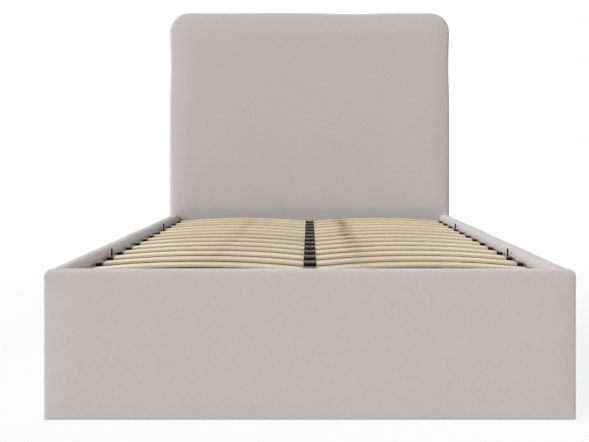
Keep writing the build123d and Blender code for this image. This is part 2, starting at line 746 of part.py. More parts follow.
def strut_rod():
    """The rod, with its piston in the cylinder and its eye at the arm's lug."""
    length = strut_length()
    piston = CYLINDER_RADIUS - CYLINDER_WALL - PISTON_GAP
    rod = turned([(0, ROD_TAIL), (piston, ROD_TAIL), (piston, ROD_TAIL + PISTON_LENGTH),
                  (ROD_RADIUS, ROD_TAIL + PISTON_LENGTH), (ROD_RADIUS, length), (0, length)])
    eye, hole = strut_eye(length, STUD_RADIUS + STUD_OPEN_PLAY)
    return strut_frame() * (rod + eye - hole)


# Slat frame

def tube_face(width, height):
    """Section of a hollow rectangular tube."""
    outer = RectangleRounded(width, height, TUBE_ROUND)
    return outer - RectangleRounded(width - 2 * TUBE_WALL, height - 2 * TUBE_WALL, TUBE_ROUND - TUBE_WALL)


def tube_along(x, y_from, y_to):
    middle = (TUBE_TOP + TUBE_UNDER) / 2
    return across(Pos(x, middle) * tube_face(TUBE_WIDTH, TUBE_HEIGHT), y_from, y_to)


def tube_between(y):
    """A tube across the frame, between the side tubes."""
    middle = (TUBE_TOP + TUBE_UNDER) / 2
    return sheet(Pos(y, middle) * tube_face(TUBE_WIDTH, TUBE_HEIGHT), -TUBE_IN, TUBE_IN)


def side_tube():
    return screw_holes(tube_along(TUBE_MID, END_TUBE_FOOT, END_TUBE_HEAD))


def centre_tube():
    return tube_along(0, END_TUBE_FOOT + TUBE_WIDTH, END_TUBE_HEAD - TUBE_WIDTH)


def tube_end_caps():
    """Plastic plugs in the open ends of the side tubes."""
    middle = (TUBE_TOP + TUBE_UNDER) / 2
    plate = Pos(TUBE_MID, middle) * RectangleRounded(TUBE_WIDTH, TUBE_HEIGHT, TUBE_ROUND)
    room = 2 * (TUBE_WALL + END_PLUG_GAP)
    plug = Pos(TUBE_MID, middle) * RectangleRounded(TUBE_WIDTH - room, TUBE_HEIGHT - room, TUBE_ROUND)
    foot = across(plate, FRAME_FOOT, END_TUBE_FOOT) + across(plug, END_TUBE_FOOT, END_TUBE_FOOT + END_PLUG)
    head = across(plate, END_TUBE_HEAD, FRAME_HEAD) + across(plug, END_TUBE_HEAD - END_PLUG, END_TUBE_HEAD)
    return both(foot) + both(head)


# Slats and caps, right-hand

def slat_y(row):
    return FRAME_FOOT + SLAT_FIRST + row * SLAT_PITCH


def slat_lift(x):
    """How far the bowed slat stands above its ends at x."""
    half = (SLAT_OUT - SLAT_END_IN) / 2
    radius = (half ** 2 + SLAT_RISE ** 2) / (2 * SLAT_RISE)
    return (radius ** 2 - (x - SLAT_END_IN - half) ** 2) ** 0.5 - (radius - SLAT_RISE)


def slat_line(grow):
    """The middle line of a bowed slat, seen from the front, longer by grow at both ends."""
    ends = (SLAT_END_IN - grow, SLAT_OUT + grow)
    middle = SLAT_UNDER + SLAT_THICK / 2
    return Plane.XZ * ThreePointArc((ends[0], middle), (sum(ends) / 2, middle + SLAT_RISE),
                                    (ends[1], middle))


def slat():
    line = slat_line(0)
    start = Plane(origin=line @ 0, x_dir=(0, 1, 0), z_dir=line % 0)
    return sweep(start * RectangleRounded(SLAT_WIDTH, SLAT_THICK, SLAT_EDGE), path=line)


def slat_pocket():
    """The room that a cap leaves round a slat's end."""
    line = slat_line(CAP_GAP)
    start = Plane(origin=line @ 0, x_dir=(0, 1, 0), z_dir=line % 0)
    room = Rectangle(SLAT_WIDTH + 2 * CAP_GAP, SLAT_THICK + 2 * CAP_GAP)
    return sweep(start * room, path=line)


def side_cap():
    """The moulded holder on the side tube, open towards the slat."""
    outside = TUBE_OUT - SIDE_CAP_INSET
    mouth = outside - SIDE_CAP_LENGTH
    top = SLAT_UNDER + SLAT_THICK + CAP_GAP + CAP_LID
    profile = make_face(Polyline((mouth, TUBE_TOP), (outside, TUBE_TOP), (outside, top),
                                 (SLAT_OUT, top), (mouth, top + slat_lift(mouth)), close=True))
    half = SLAT_WIDTH / 2 + CAP_WALL
    body = across(profile, -half, half)
    corners = body.edges().filter_by(Axis.Z).sort_by(Axis.X)[-2:]
    return fillet(corners, CAP_ROUND) - slat_pocket()


def centre_cap():
    """The double holder on the centre tube."""
    end = CENTRE_CAP_LENGTH / 2
    top = SLAT_UNDER + SLAT_THICK + CAP_GAP + CAP_LID
    half = SLAT_WIDTH / 2 + CAP_WALL
    profile = make_face(Polyline((-end, TUBE_TOP), (end, TUBE_TOP), (end, top + slat_lift(end)),
                                 (SLAT_END_IN, top), (-SLAT_END_IN, top),
                                 (-end, top + slat_lift(end)), close=True))
    body = across(profile, -half, half)
    return body - slat_pocket() - left(slat_pocket())


def in_rows(solid):
    return [Pos(0, slat_y(row), 0) * solid for row in range(SLAT_ROWS)]


def retainer_y(row, share):
    """A retainer's place: a share of the open gap between the caps of this row and the next."""
    cap = SLAT_WIDTH / 2 + CAP_WALL
    return slat_y(row) + cap + (SLAT_PITCH - 2 * cap) * share


def retainer(y):
    """A bent rod welded to the side tube that keeps the mattress in place."""
    x = TUBE_OUT - RETAINER_INSET
    low = TUBE_TOP + RETAINER_RADIUS
    path = Plane.XZ.offset(-y) * FilletPolyline((x, TUBE_TOP + RETAINER_RISE), (x, low),
                                                (x - RETAINER_FOOT, low), radius=RETAINER_BEND)
    section = Plane(origin=path @ 0, z_dir=path % 0) * Circle(RETAINER_RADIUS)
    return sweep(section, path=path)


# Base
save("headboard_padding", headboard_padding())
save("headboard_board", headboard_board())
save("headboard_battens", *headboard_battens())
save("headboard_back_lining", headboard_back_lining())
save("footboard_padding", footboard_padding())
save("footboard_board", footboard_board())
save("right_rail_padding", rail_padding())
save("left_rail_padding", left(rail_padding()))
save("right_rail_board", rail_board())
save("left_rail_board", left(rail_board()))
save("floor_ledges", *both(floor_ledge()))
save("centre_floor_bearer", centre_bearer())
for index, place in enumerate(("foot", "middle", "head")):
    save(f"floor_panel_{place}", floor_panel(index, 3))
save("floor_glides", *floor_glides())
save("corner_brackets", *both(corner_bracket(FOOT_INNER, 1)), *both(corner_bracket(HEAD_FACE, -1)))
save("base_bolts", *base_bolts())
save("foot_rest_batten", foot_rest_batten())
save("frame_rest_brackets", *both(rest_bracket()))
save("frame_rest_buffers", *rest_buffers())

# Linkage, right and left
hand_made = {
    "hinge_plate": hinge_plate(),
    "front_arm": front_arm(),
    "rear_arm": rear_arm(),
    "strut_cylinder": strut_cylinder(),
    "strut_rod": strut_rod(),
    "upper_bar": upper_bar(),
    "side_tube": side_tube(),
}
for name, solid in hand_made.items():
    save(f"right_{name}", solid)
    save(f"left_{name}", left(solid))
lower_pins = [lower_pin(ARM_FOOT), lower_pin(LINK_FOOT), stud(STRUT_FOOT, RAIL_INNER, PLATE_FACE)]
save("lower_pivot_pins", *[twin for pin in lower_pins for twin in both(pin)])
save("strut_lug_studs", *both(stud(STRUT_STUD, ARM_IN, ARM_IN)))
upper_pins = [upper_pin(ARM_HEAD, PIN_RADIUS), upper_pin(LINK_PIN, OPEN_PIN_RADIUS)]
save("upper_pivot_pins", *[twin for pin in upper_pins for twin in both(pin)])
save("upper_bar_screws", *upper_bar_screws())

# Slat frame
save("foot_tube", tube_between(END_TUBE_FOOT + TUBE_WIDTH / 2))
save("head_tube", tube_between(END_TUBE_HEAD - TUBE_WIDTH / 2))
save("centre_tube", centre_tube())
save("tube_end_caps", *tube_end_caps())
bowed = slat()
for row in range(SLAT_ROWS):
    save(f"slat_row_{row + 1:02d}", *both(Pos(0, slat_y(row), 0) * bowed))
save("side_slat_caps", *[twin for cap in in_rows(side_cap()) for twin in both(cap)])
save("centre_slat_caps", *in_rows(centre_cap()))
retainer_places = [retainer_y(*place) for place in zip(RETAINER_ROWS, RETAINER_SHARES)]
save("mattress_retainers", *[twin for y in retainer_places for twin in both(retainer(y))])
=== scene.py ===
import json
import math

import bpy
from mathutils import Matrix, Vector


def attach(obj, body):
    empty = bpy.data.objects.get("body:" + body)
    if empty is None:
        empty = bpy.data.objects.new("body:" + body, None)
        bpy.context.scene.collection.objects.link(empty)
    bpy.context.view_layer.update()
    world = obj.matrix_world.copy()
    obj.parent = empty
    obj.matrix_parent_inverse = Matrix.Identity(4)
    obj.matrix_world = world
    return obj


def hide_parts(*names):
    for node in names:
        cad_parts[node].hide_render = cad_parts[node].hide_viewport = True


# Ottoman storage bed. Metres: +X is right seen from the foot, +Y runs to the headboard, +Z is up.
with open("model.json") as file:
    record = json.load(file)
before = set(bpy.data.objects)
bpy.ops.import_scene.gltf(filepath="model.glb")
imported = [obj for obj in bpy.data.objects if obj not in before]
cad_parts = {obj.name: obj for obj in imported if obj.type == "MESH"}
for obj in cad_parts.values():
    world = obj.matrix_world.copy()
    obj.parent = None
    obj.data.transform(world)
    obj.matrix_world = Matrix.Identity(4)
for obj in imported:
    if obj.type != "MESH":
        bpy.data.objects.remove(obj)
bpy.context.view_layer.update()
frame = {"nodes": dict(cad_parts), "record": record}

# The bed's outside
BED_HALF = 0.650
FOOT_FRONT = -1.022
FOOT_BACK = -0.972
HEAD_FACE = 0.942
HEAD_BACK = 1.022
SIDE_TOP = 0.367
HEAD_TOP = 1.305
CLEAR_OF_FLOOR = 0.0015
RAIL_INNER = 0.607

# The slats, each from its inner to its outer end, and how far its bow rises
SLAT_PITCH = 0.13617
SLAT_FIRST = -0.826
SLAT_ROWS = 13
SLAT_ENDS = (0.006, 0.592)
SLAT_MIDDLE = (SLAT_ENDS[0] + SLAT_ENDS[1]) / 2
SLAT_HALF_LENGTH = (SLAT_ENDS[1] - SLAT_ENDS[0]) / 2
SLAT_HALF_WIDTH = 0.0265
SLAT_UNDER = 0.3368
SLAT_THICK = 0.008
SLAT_PLIES = 5
SLAT_RISE = 0.0155

# The slat frame's steel tubes
TUBE_TOP = 0.335
TUBE_UNDER = 0.301
TUBE_IN = 0.570
TUBE_WIDE = 0.030

SIDES = (("right", 1), ("left", -1))
BODY_OF = {
    node: body for body, nodes in frame["record"]["behaviour"]["bodies"].items() for node in nodes
}


# Hand work: selecting, editing and finishing a mesh


def only(piece):
    """Selects one piece and makes it the active one."""
    bpy.ops.object.select_all(action="DESELECT")
    piece.select_set(True)
    bpy.context.view_layer.objects.active = piece


def named(piece, name):
    piece.name = name
    piece.data.name = name
    return piece


def copy_of(first, name):
    """A copy of a piece with a mesh of its own."""
    piece = named(bpy.data.objects.new(name, first.data.copy()), name)
    bpy.context.scene.collection.objects.link(piece)
    return piece


def stand_along(piece, way):
    """Turns a piece so that its Z runs along a direction."""
    piece.rotation_mode = "QUATERNION"
    piece.rotation_quaternion = way.to_track_quat("Z", "Y")


def place_into_mesh(piece):
    """Puts a piece's place, turn and size into its mesh."""
    only(piece)
    bpy.ops.object.transform_apply(location=True, rotation=True, scale=True)


def block(name, low, high):
    """A cube primitive between two corners."""
    low, high = Vector(low), Vector(high)
    bpy.ops.object.select_all(action="DESELECT")
    bpy.ops.mesh.primitive_cube_add(size=1, location=(low + high) / 2)
    piece = named(bpy.context.object, name)
    piece.scale = high - low
    place_into_mesh(piece)
    return piece


def pick_edges(piece, wanted):
    """Selects the edges whose two ends pass the test."""
    only(piece)
    bpy.ops.object.mode_set(mode="EDIT")
    bpy.ops.mesh.select_mode(type="EDGE")
    bpy.ops.mesh.select_all(action="DESELECT")
    bpy.ops.object.mode_set(mode="OBJECT")
    points = piece.data.vertices
    for edge in piece.data.edges:
        edge.select = bool(wanted(points[edge.vertices[0]].co, points[edge.vertices[1]].co))
    bpy.ops.object.mode_set(mode="EDIT")


def pick_faces(piece, wanted):
    """Selects the faces whose centre and normal pass the test."""
    only(piece)
    bpy.ops.object.mode_set(mode="EDIT")
    bpy.ops.mesh.select_mode(type="FACE")
    bpy.ops.mesh.select_all(action="DESELECT")
    bpy.ops.object.mode_set(mode="OBJECT")
    for face in piece.data.polygons:
        face.select = bool(wanted(face.center, face.normal))
    bpy.ops.object.mode_set(mode="EDIT")


def done():
    """Leaves edit mode."""
    bpy.ops.object.mode_set(mode="OBJECT")


def round_edges(piece, wanted, size, steps):
    """Rounds the edges whose two ends pass the test."""
    pick_edges(piece, wanted)
    bpy.ops.mesh.bevel(offset=size, segments=steps, profile=0.5, affect="EDGES")
    done()


def cut_rows(piece, axis, places):
    """Cuts the whole skin at several places along an axis, so that it can bend."""
    only(piece)
    bpy.ops.object.mode_set(mode="EDIT")
    for place in places:
        bpy.ops.mesh.select_all(action="SELECT")
        point, normal = Vector((0, 0, 0)), Vector((0, 0, 0))
        point[axis], normal[axis] = place, 1
        bpy.ops.mesh.bisect(plane_co=point, plane_no=normal)
    done()


def keep_corners(piece, degrees=50):
    """Creases the sharp edges, so that smoothing leaves them where they are."""
    only(piece)
    bpy.ops.object.mode_set(mode="EDIT")
    bpy.ops.mesh.select_mode(type="EDGE")
    bpy.ops.mesh.select_all(action="DESELECT")
    bpy.ops.mesh.edges_select_sharp(sharpness=math.radians(degrees))
    bpy.ops.transform.edge_crease(value=1)
    done()


def spread(low, high, step):
    """Even places between two ends, about a step apart, without the ends."""
    count = max(1, round((high - low) / step))
    return [low + (high - low) * i / count for i in range(1, count)]


def modify(piece, kind, **settings):
    """Adds a modifier with its settings and applies it."""
    only(piece)
    bpy.ops.object.modifier_add(type=kind)
    made = piece.modifiers[-1]
    for key, value in settings.items():
        setattr(made, key, value)
    bpy.ops.object.modifier_apply(modifier=made.name)


def smooth(piece, degrees=None):
    """Shades a piece smooth, all over or only where it bends by less than an angle."""
    only(piece)
    if degrees is None:
        bpy.ops.object.shade_smooth()
    else:
        bpy.ops.object.shade_smooth_by_angle(angle=math.radians(degrees))


MERGE_WITHIN = 0.000005
FLAT_WITHIN = 0.5


def ease_edges(piece, width, degrees, steps=2):
    """Breaks the edges that bend by more than an angle."""
    sharp = math.radians(degrees)
    modify(piece, "BEVEL", width=width, segments=steps, limit_method="ANGLE", angle_limit=sharp)


def eased(node_name, finish, width, steps=2):
    """A copy of a CAD node with its sharp edges eased, which stands for the node."""
    piece = copy_of(frame["nodes"][node_name], node_name + "_eased")
    only(piece)
    bpy.ops.object.mode_set(mode="EDIT")
    bpy.ops.mesh.select_all(action="SELECT")
    bpy.ops.mesh.remove_doubles(threshold=MERGE_WITHIN)
    bpy.ops.mesh.dissolve_limited(angle_limit=math.radians(FLAT_WITHIN))
    done()
    ease_edges(piece, width, 35, steps)
    smooth(piece, 32)
    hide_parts(node_name)
    dress(piece, finish, BODY_OF[node_name])


def dress(piece, finish, body="base"):
    """Gives a new piece its finish and the CAD body that it rides on."""
    piece.data.materials.clear()
    piece.data.materials.append(finish)
    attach(piece, body)


# Shader nodes


class Wiring:
    """A material's or a node group's tree, with short calls to add and join nodes."""

    def __init__(self, tree):
        self.tree = tree

    def node(self, kind, **inputs):
        made = self.tree.nodes.new("ShaderNode" + kind)
        for key, value in inputs.items():
            self.feed(made.inputs[key.replace("_", " ")], value)
        return made

    def feed(self, socket, value):
        if isinstance(value, bpy.types.NodeSocket):
            self.tree.links.new(value, socket)
        else:
            socket.default_value = value

    def math(self, operation, a, b=0.0, clamp=False):
        made = self.tree.nodes.new("ShaderNodeMath")
        made.operation, made.use_clamp = operation, clamp
        self.feed(made.inputs[0], a)
        self.feed(made.inputs[1], b)
        return made.outputs[0]

    def plus(self, a, b, clamp=False):
        return self.math("ADD", a, b, clamp)

    def minus(self, a, b):
        return self.math("SUBTRACT", a, b)

    def times(self, *factors):
        product = factors[0]
        for factor in factors[1:]:
            product = self.math("MULTIPLY", product, factor)
        return product

    def remap(self, value, low, high, to_low=0.0, to_high=1.0):
        made = self.tree.nodes.new("ShaderNodeMapRange")
        made.interpolation_type = "SMOOTHSTEP"
        for index, item in enumerate((value, low, high, to_low, to_high)):
            self.feed(made.inputs[index], item)
        return made.outputs[0]

    def mix(self, share, a, b, blend="MIX"):
        made = self.tree.nodes.new("ShaderNodeMix")
        made.data_type, made.blend_type = "RGBA", blend
        self.feed(made.inputs[0], share)
        self.feed(made.inputs[6], a)
        self.feed(made.inputs[7], b)
        return made.outputs[2]

    def blend(self, share, a, b):
        made = self.node("MixShader", Fac=share)
        self.feed(made.inputs[1], a)
        self.feed(made.inputs[2], b)
        return made.outputs[0]

    def noise(self, vector, scale, detail=3.0, roughness=0.5):
        made = self.node("TexNoise", Vector=vector, Scale=scale, Detail=detail, Roughness=roughness)
        return made.outputs["Fac"]

    def stretched(self, vector, scale):
        made = self.node("Mapping", Vector=vector)
        made.inputs["Scale"].default_value = scale
        return made.outputs[0]

    def parts(self, vector):
        return self.node("SeparateXYZ", Vector=vector).outputs

    def facing(self):
        """How squarely the surface faces along X, Y and Z, each from 0 to 1."""
        made = self.node("VectorMath")
        made.operation = "ABSOLUTE"
        self.feed(made.inputs[0], self.node("TexCoord").outputs["Normal"])
        return self.parts(made.outputs[0])

    def group(self, name, **inputs):
        made = self.tree.nodes.new("ShaderNodeGroup")
        made.node_tree = bpy.data.node_groups[name]
        for key, value in inputs.items():
            self.feed(made.inputs[key.replace("_", " ")], value)
        return made.outputs


def colour(red, green, blue):
    return (red, green, blue, 1.0)


def start_group(name, inputs, outputs):
    """A node group with named inputs, each with its first value, and named outputs."""
    tree = bpy.data.node_groups.new(name, "ShaderNodeTree")
    for key, value in inputs.items():
        kind = {float: "Float", tuple: "Color", Vector: "Vector"}[type(value)]
        socket = tree.interface.new_socket(key, in_out="INPUT", socket_type="NodeSocket" + kind)
        socket.default_value = value
    for key, kind in outputs.items():
        tree.interface.new_socket(key, in_out="OUTPUT", socket_type="NodeSocket" + kind)
    entry, leave = tree.nodes.new("NodeGroupInput"), tree.nodes.new("NodeGroupOutput")
    return Wiring(tree), entry.outputs, leave.inputs


def plain_weave_group():
    """Warp and weft threads, laid by the way that the surface faces, with flecks in the yarn."""
    w, get, put = start_group(
        "plain weave",
        {"Place": Vector(), "Thread": 0.0015, "Yarn": colour(0.6, 0.58, 0.57), "Fleck": 0.1},
        {"Colour": "Color", "Height": "Float", "Shine": "Float"},
    )
    x, y, z = w.parts(get["Place"])
    nx, ny, nz = w.facing()
    turn = w.math("DIVIDE", math.tau / 2, get["Thread"])

    def thread(place):
        return w.math("SINE", w.times(place, turn))

    sx, sy, sz = thread(x), thread(y), thread(z)
    on_side = w.times(sy, sz, nx)
    on_front = w.times(sx, sz, ny)
    on_top = w.times(sx, sy, nz)
    cloth = w.plus(w.plus(on_side, on_front), on_top)
    yarn = w.noise(get["Place"], 900.0, 2.0, 0.7)
    slub = w.noise(get["Place"], 90.0, 4.0, 0.65)
    pile = w.noise(get["Place"], 7.0, 2.0, 0.5)
    height = w.plus(w.times(cloth, 0.5), w.times(yarn, 0.7))
    w.feed(put["Height"], w.plus(height, w.times(slub, 0.2)))
    fleck = w.times(w.minus(w.plus(slub, w.times(yarn, 0.6)), 0.8), get["Fleck"])
    brushed = w.minus(pile, 0.5)
    tone = w.plus(w.plus(w.times(brushed, 0.035), 1.0), fleck)
    grey = w.node("CombineXYZ", X=tone, Y=tone, Z=tone).outputs[0]
    w.feed(put["Colour"], w.mix(1.0, get["Yarn"], grey, "MULTIPLY"))
    w.feed(put["Shine"], w.times(brushed, 0.2))


def wood_grain_group():
    """Fine pores and soft bands that run along X, shifted by a seed."""
    w, get, put = start_group(
        "wood grain",
        {
            "Place": Vector(),
            "Seed": 0.0,
            "Pale": colour(0.8, 0.7, 0.5),
            "Dark": colour(0.6, 0.45, 0.3),
        },
        {"Colour": "Color", "Height": "Float"},
    )
    seed = get["Seed"]
    shift = w.node("CombineXYZ", X=w.times(seed, 7.3), Y=seed, Z=w.times(seed, 3.1))
    moved = w.node("VectorMath")
    w.feed(moved.inputs[0], get["Place"])
    w.feed(moved.inputs[1], shift.outputs[0])
    place = moved.outputs[0]
    band = w.noise(w.stretched(place, (1.2, 22.0, 22.0)), 1.0, 3.0, 0.55)
    line = w.noise(w.stretched(place, (4.0, 160.0, 160.0)), 1.0, 4.0, 0.6)
    pore = w.noise(w.stretched(place, (90.0, 1500.0, 1500.0)), 1.0, 2.0, 0.6)
    pores = w.remap(pore, 0.58, 0.72)
    bands, lines = w.remap(band, 0.3, 0.75), w.remap(line, 0.35, 0.7)
    share = w.plus(w.times(bands, 0.5), w.times(lines, 0.35))
    share = w.plus(share, w.times(pores, 0.2), clamp=True)
    w.feed(put["Colour"], w.mix(share, get["Pale"], get["Dark"]))
    w.feed(put["Height"], w.minus(w.times(line, 0.4), w.times(pores, 0.6)))


def fine_texture_group():
    """A moulded or sprayed surface: fine bumps, broader waves, and where it is duller."""
    w, get, put = start_group(
        "fine texture",
        {"Place": Vector(), "Grain": 900.0, "Wave": 60.0},
        {"Height": "Float", "Dull": "Float"},
    )
    fine = w.noise(get["Place"], get["Grain"], 3.0, 0.6)
    broad = w.noise(get["Place"], get["Wave"], 2.0, 0.5)
    w.feed(put["Height"], w.plus(w.times(fine, 0.6), w.times(broad, 0.4)))
    w.feed(put["Dull"], w.remap(broad, 0.35, 0.7))


def start_finish(name):
    """A new material: its wiring, its Principled shader and its object coordinates."""
    made = bpy.data.materials.new(name)
    made.use_nodes = True
    w = Wiring(made.node_tree)
    shader = made.node_tree.nodes["Principled BSDF"]
    return made, w, shader, w.node("TexCoord").outputs["Object"]


def bump(w, shader, height, depth, strength=1.0):
    """Gives a shader the fine relief of a surface, its depth in metres."""
    made = w.node("Bump", Height=height, Distance=depth, Strength=strength)
    w.feed(shader.inputs["Normal"], made.outputs[0])


def cover_fabric():
    """The bed's pale grey cloth: a plain weave with a soft, brushed face."""
    made, w, shader, place = start_finish("cover_fabric")
    yarn = colour(0.610, 0.575, 0.563)
    cloth = w.group("plain weave", Place=place, Thread=0.0014, Yarn=yarn, Fleck=0.11)
    w.feed(shader.inputs["Base Color"], cloth["Colour"])
    w.feed(shader.inputs["Roughness"], w.plus(cloth["Shine"], 0.9))
    shader.inputs["Specular IOR Level"].default_value = 0.25
    shader.inputs["Sheen Weight"].default_value = 0.30
    shader.inputs["Sheen Roughness"].default_value = 0.5
    bump(w, shader, cloth["Height"], 0.0005, 0.5)
    return made


def slat_beech():
    """Bent beech plywood: grain along the slat, each slat in a tone of its own, plies in its edges."""
    made, w, shader, place = start_finish("slat_beech")
    x, y, z = w.parts(place)
    first_edge = SLAT_FIRST - SLAT_PITCH / 2
    row = w.math("FLOOR", w.math("DIVIDE", w.minus(y, first_edge), SLAT_PITCH))
    column = w.math("SIGN", x)
    from_centre = w.math("ABSOLUTE", x)
    own = w.node("TexWhiteNoise")
    own.noise_dimensions = "2D"
    w.feed(own.inputs["Vector"], w.node("CombineXYZ", X=row, Y=column).outputs[0])
    seed = own.outputs["Value"]
    pale, dark = colour(0.900, 0.784, 0.567), colour(0.78, 0.625, 0.41)
    wood = w.group("wood grain", Place=place, Seed=seed, Pale=pale, Dark=dark)
    tone = w.plus(w.times(seed, 0.16), 0.90)
    green, blue = w.math("POWER", tone, 1.15), w.math("POWER", tone, 1.4)
    tint = w.node("CombineXYZ", X=tone, Y=green, Z=blue).outputs[0]
    face = w.mix(1.0, wood["Colour"], tint, "MULTIPLY")

    # A darker figure in the veneer, at about the same place in each slat of a column
    spot = w.plus(w.minus(0.19, w.times(column, 0.062)), w.times(seed, 0.02))
    away = w.math("ABSOLUTE", w.minus(from_centre, spot))
    face = w.mix(w.remap(away, 0.02, 0.13, 0.35, 0.0), face, colour(0.78, 0.60, 0.45))
    streak = w.noise(w.stretched(place, (26.0, 300.0, 300.0)), 1.0, 3.0, 0.6)
    by_column = w.plus(w.times(column, 0.25), 0.60)
    by_row = w.remap(y, -0.7, 0.3, 0.45, 1.15)
    figure = w.times(w.remap(streak, 0.46, 0.56), w.times(by_column, by_row))
    figure = w.times(figure, w.remap(away, 0.008, 0.042, 1.0, 0.0))
    face = w.mix(figure, face, colour(0.36, 0.22, 0.12))

    # Plies and glue lines, which follow the bow and show only in the edges
    along = w.math("DIVIDE", w.minus(from_centre, SLAT_MIDDLE), SLAT_HALF_LENGTH)
    lift = w.times(w.minus(1.0, w.times(along, along)), SLAT_RISE)
    depth = w.minus(w.minus(z, SLAT_UNDER), lift)
    ply = SLAT_THICK / SLAT_PLIES
    waver = w.times(w.noise(place, 30.0), 0.0002)
    in_ply = w.math("FRACT", w.math("DIVIDE", w.plus(depth, waver), ply))
    glue = w.minus(1.0, w.remap(w.math("ABSOLUTE", w.minus(in_ply, 0.5)), 0.05, 0.14))
    layer = w.math("FLOOR", w.math("DIVIDE", depth, ply))
    across = w.times(w.math("MODULO", w.math("ABSOLUTE", layer), 2.0), 0.08)
    edge = w.minus(1.0, w.remap(w.facing()[2], 0.35, 0.7))
    face = w.mix(w.times(edge, across), face, colour(0.55, 0.40, 0.24))
    face = w.mix(w.times(edge, w.times(glue, 0.15)), face, colour(0.30, 0.20, 0.12))

    w.feed(shader.inputs["Base Color"], face)
    w.feed(shader.inputs["Roughness"], w.plus(w.times(wood["Height"], 0.15), 0.42))
    shader.inputs["Coat Weight"].default_value = 0.12
    shader.inputs["Coat Roughness"].default_value = 0.3
    bump(w, shader, wood["Height"], 0.0002, 0.5)
    return made


def plain_wood(name, pale, dark, rough):
    """Planed wood, its grain along X."""
    made, w, shader, place = start_finish(name)
    wood = w.group("wood grain", Place=place, Seed=0.4, Pale=pale, Dark=dark)
    w.feed(shader.inputs["Base Color"], wood["Colour"])
    w.feed(shader.inputs["Roughness"], w.plus(w.times(wood["Height"], 0.12), rough))
    bump(w, shader, wood["Height"], 0.0003, 0.5)
    return made


def pressed_board(name, pale, dark, size, rough):
    """Chips or fibres pressed into a sheet."""
    made, w, shader, place = start_finish(name)
    chips = w.node("TexVoronoi", Vector=place, Scale=size)
    chip, dust = w.parts(chips.outputs["Color"])[0], w.noise(place, size * 0.4, 4.0)
    share = w.plus(w.times(chip, 0.6), w.times(dust, 0.4))
    w.feed(shader.inputs["Base Color"], w.mix(share, pale, dark))
    w.feed(shader.inputs["Roughness"], w.plus(w.times(share, 0.12), rough))
    bump(w, shader, share, 0.0002, 0.4)
    return made


def textured(name, base, rough, swing, depth, grain=900.0, wave=60.0, metal=0.0, level=0.5):
    """Moulded plastic, powder coat, plating or rubber, by its own values."""
    made, w, shader, place = start_finish(name)
    skin = w.group("fine texture", Place=place, Grain=grain, Wave=wave)
    pale = colour(*[min(1.0, c * 1.18) for c in base])
    w.feed(shader.inputs["Base Color"], w.mix(skin["Dull"], colour(*base), pale))
    w.feed(shader.inputs["Roughness"], w.plus(w.times(skin["Dull"], swing), rough))
    shader.inputs["Metallic"].default_value = metal
    shader.inputs["Specular IOR Level"].default_value = level
    bump(w, shader, skin["Height"], depth, 0.6)
    return made


def lining_cloth():
    """Non-woven cloth with its pressed dimples."""
    made, w, shader, place = start_finish("lining_cloth")
    x, _, z = w.parts(place)
    pitch = 2600.0
    dimple = w.times(w.math("SINE", w.times(x, pitch)), w.math("SINE", w.times(z, pitch)))
    fibre = w.noise(place, 500.0, 4.0, 0.7)
    share = w.times(w.plus(w.remap(dimple, 0.3, 0.8), fibre), 0.5)
    dark, pale = colour(0.030, 0.030, 0.032), colour(0.085, 0.085, 0.088)
    w.feed(shader.inputs["Base Color"], w.mix(share, dark, pale))
    w.feed(shader.inputs["Roughness"], w.plus(w.times(fibre, 0.15), 0.8))
    bump(w, shader, share, 0.0003, 0.6)
    return made


plain_weave_group()
wood_grain_group()
fine_texture_group()
COVER = cover_fabric()
BEECH = slat_beech()
PLASTIC = textured(
    "moulded_black", (0.008, 0.0062, 0.005),
    rough=0.19, swing=0.10, depth=0.0002, grain=1400.0, wave=120.0, level=0.28,
)
POWDER = textured(
    "powder_coat_black", (0.012, 0.0115, 0.0115),
    rough=0.28, swing=0.12, depth=0.0002, grain=1100.0, wave=40.0, level=0.35,
)
GLOSS = textured(
    "strut_enamel", (0.012, 0.012, 0.013),
    rough=0.16, swing=0.08, depth=0.00006, grain=700.0, wave=30.0,
)
ZINC = textured(
    "zinc_plate", (0.60, 0.60, 0.58),
    rough=0.30, swing=0.16, depth=0.00008, grain=1200.0, wave=90.0, metal=1.0,
)
CHROME = textured(
    "polished_rod", (0.74, 0.74, 0.75),
    rough=0.07, swing=0.05, depth=0.00002, grain=1600.0, wave=80.0, metal=1.0,
)
RUBBER = textured(
    "buffer_rubber", (0.020, 0.020, 0.020),
    rough=0.68, swing=0.12, depth=0.0003, grain=800.0, wave=90.0,
)
CHIPBOARD = pressed_board(
    "chipboard", pale=colour(0.62, 0.48, 0.31), dark=colour(0.36, 0.25, 0.15), size=320.0, rough=0.72
)
HARDBOARD = pressed_board(
    "hardboard", pale=colour(0.42, 0.29, 0.18), dark=colour(0.28, 0.18, 0.105), size=900.0, rough=0.48
)
PINE = plain_wood(
    "planed_pine", pale=colour(0.76, 0.60, 0.38), dark=colour(0.55, 0.37, 0.20), rough=0.6
)
LINING = lining_cloth()

FINISH_OF_SLOT = {
    "upholstery": COVER,
    "panel_board": CHIPBOARD,
    "softwood": PINE,
    "lining": LINING,
    "hardboard": HARDBOARD,
    "beech_ply": BEECH,
    "black_plastic": PLASTIC,
    "buffer_rubber": RUBBER,
    "rod_chrome": CHROME,
    "zinc_steel": ZINC,
    "black_steel": POWDER,
}
for subpart in frame["record"]["subparts"]:
    node = frame["nodes"][subpart["node"]]
    node.data.materials.clear()
    node.data.materials.append(FINISH_OF_SLOT[subpart["material_slot"]])
for side, _ in SIDES:
    frame["nodes"][side + "_strut_cylinder"].data.materials[0] = GLOSS


# Upholstery

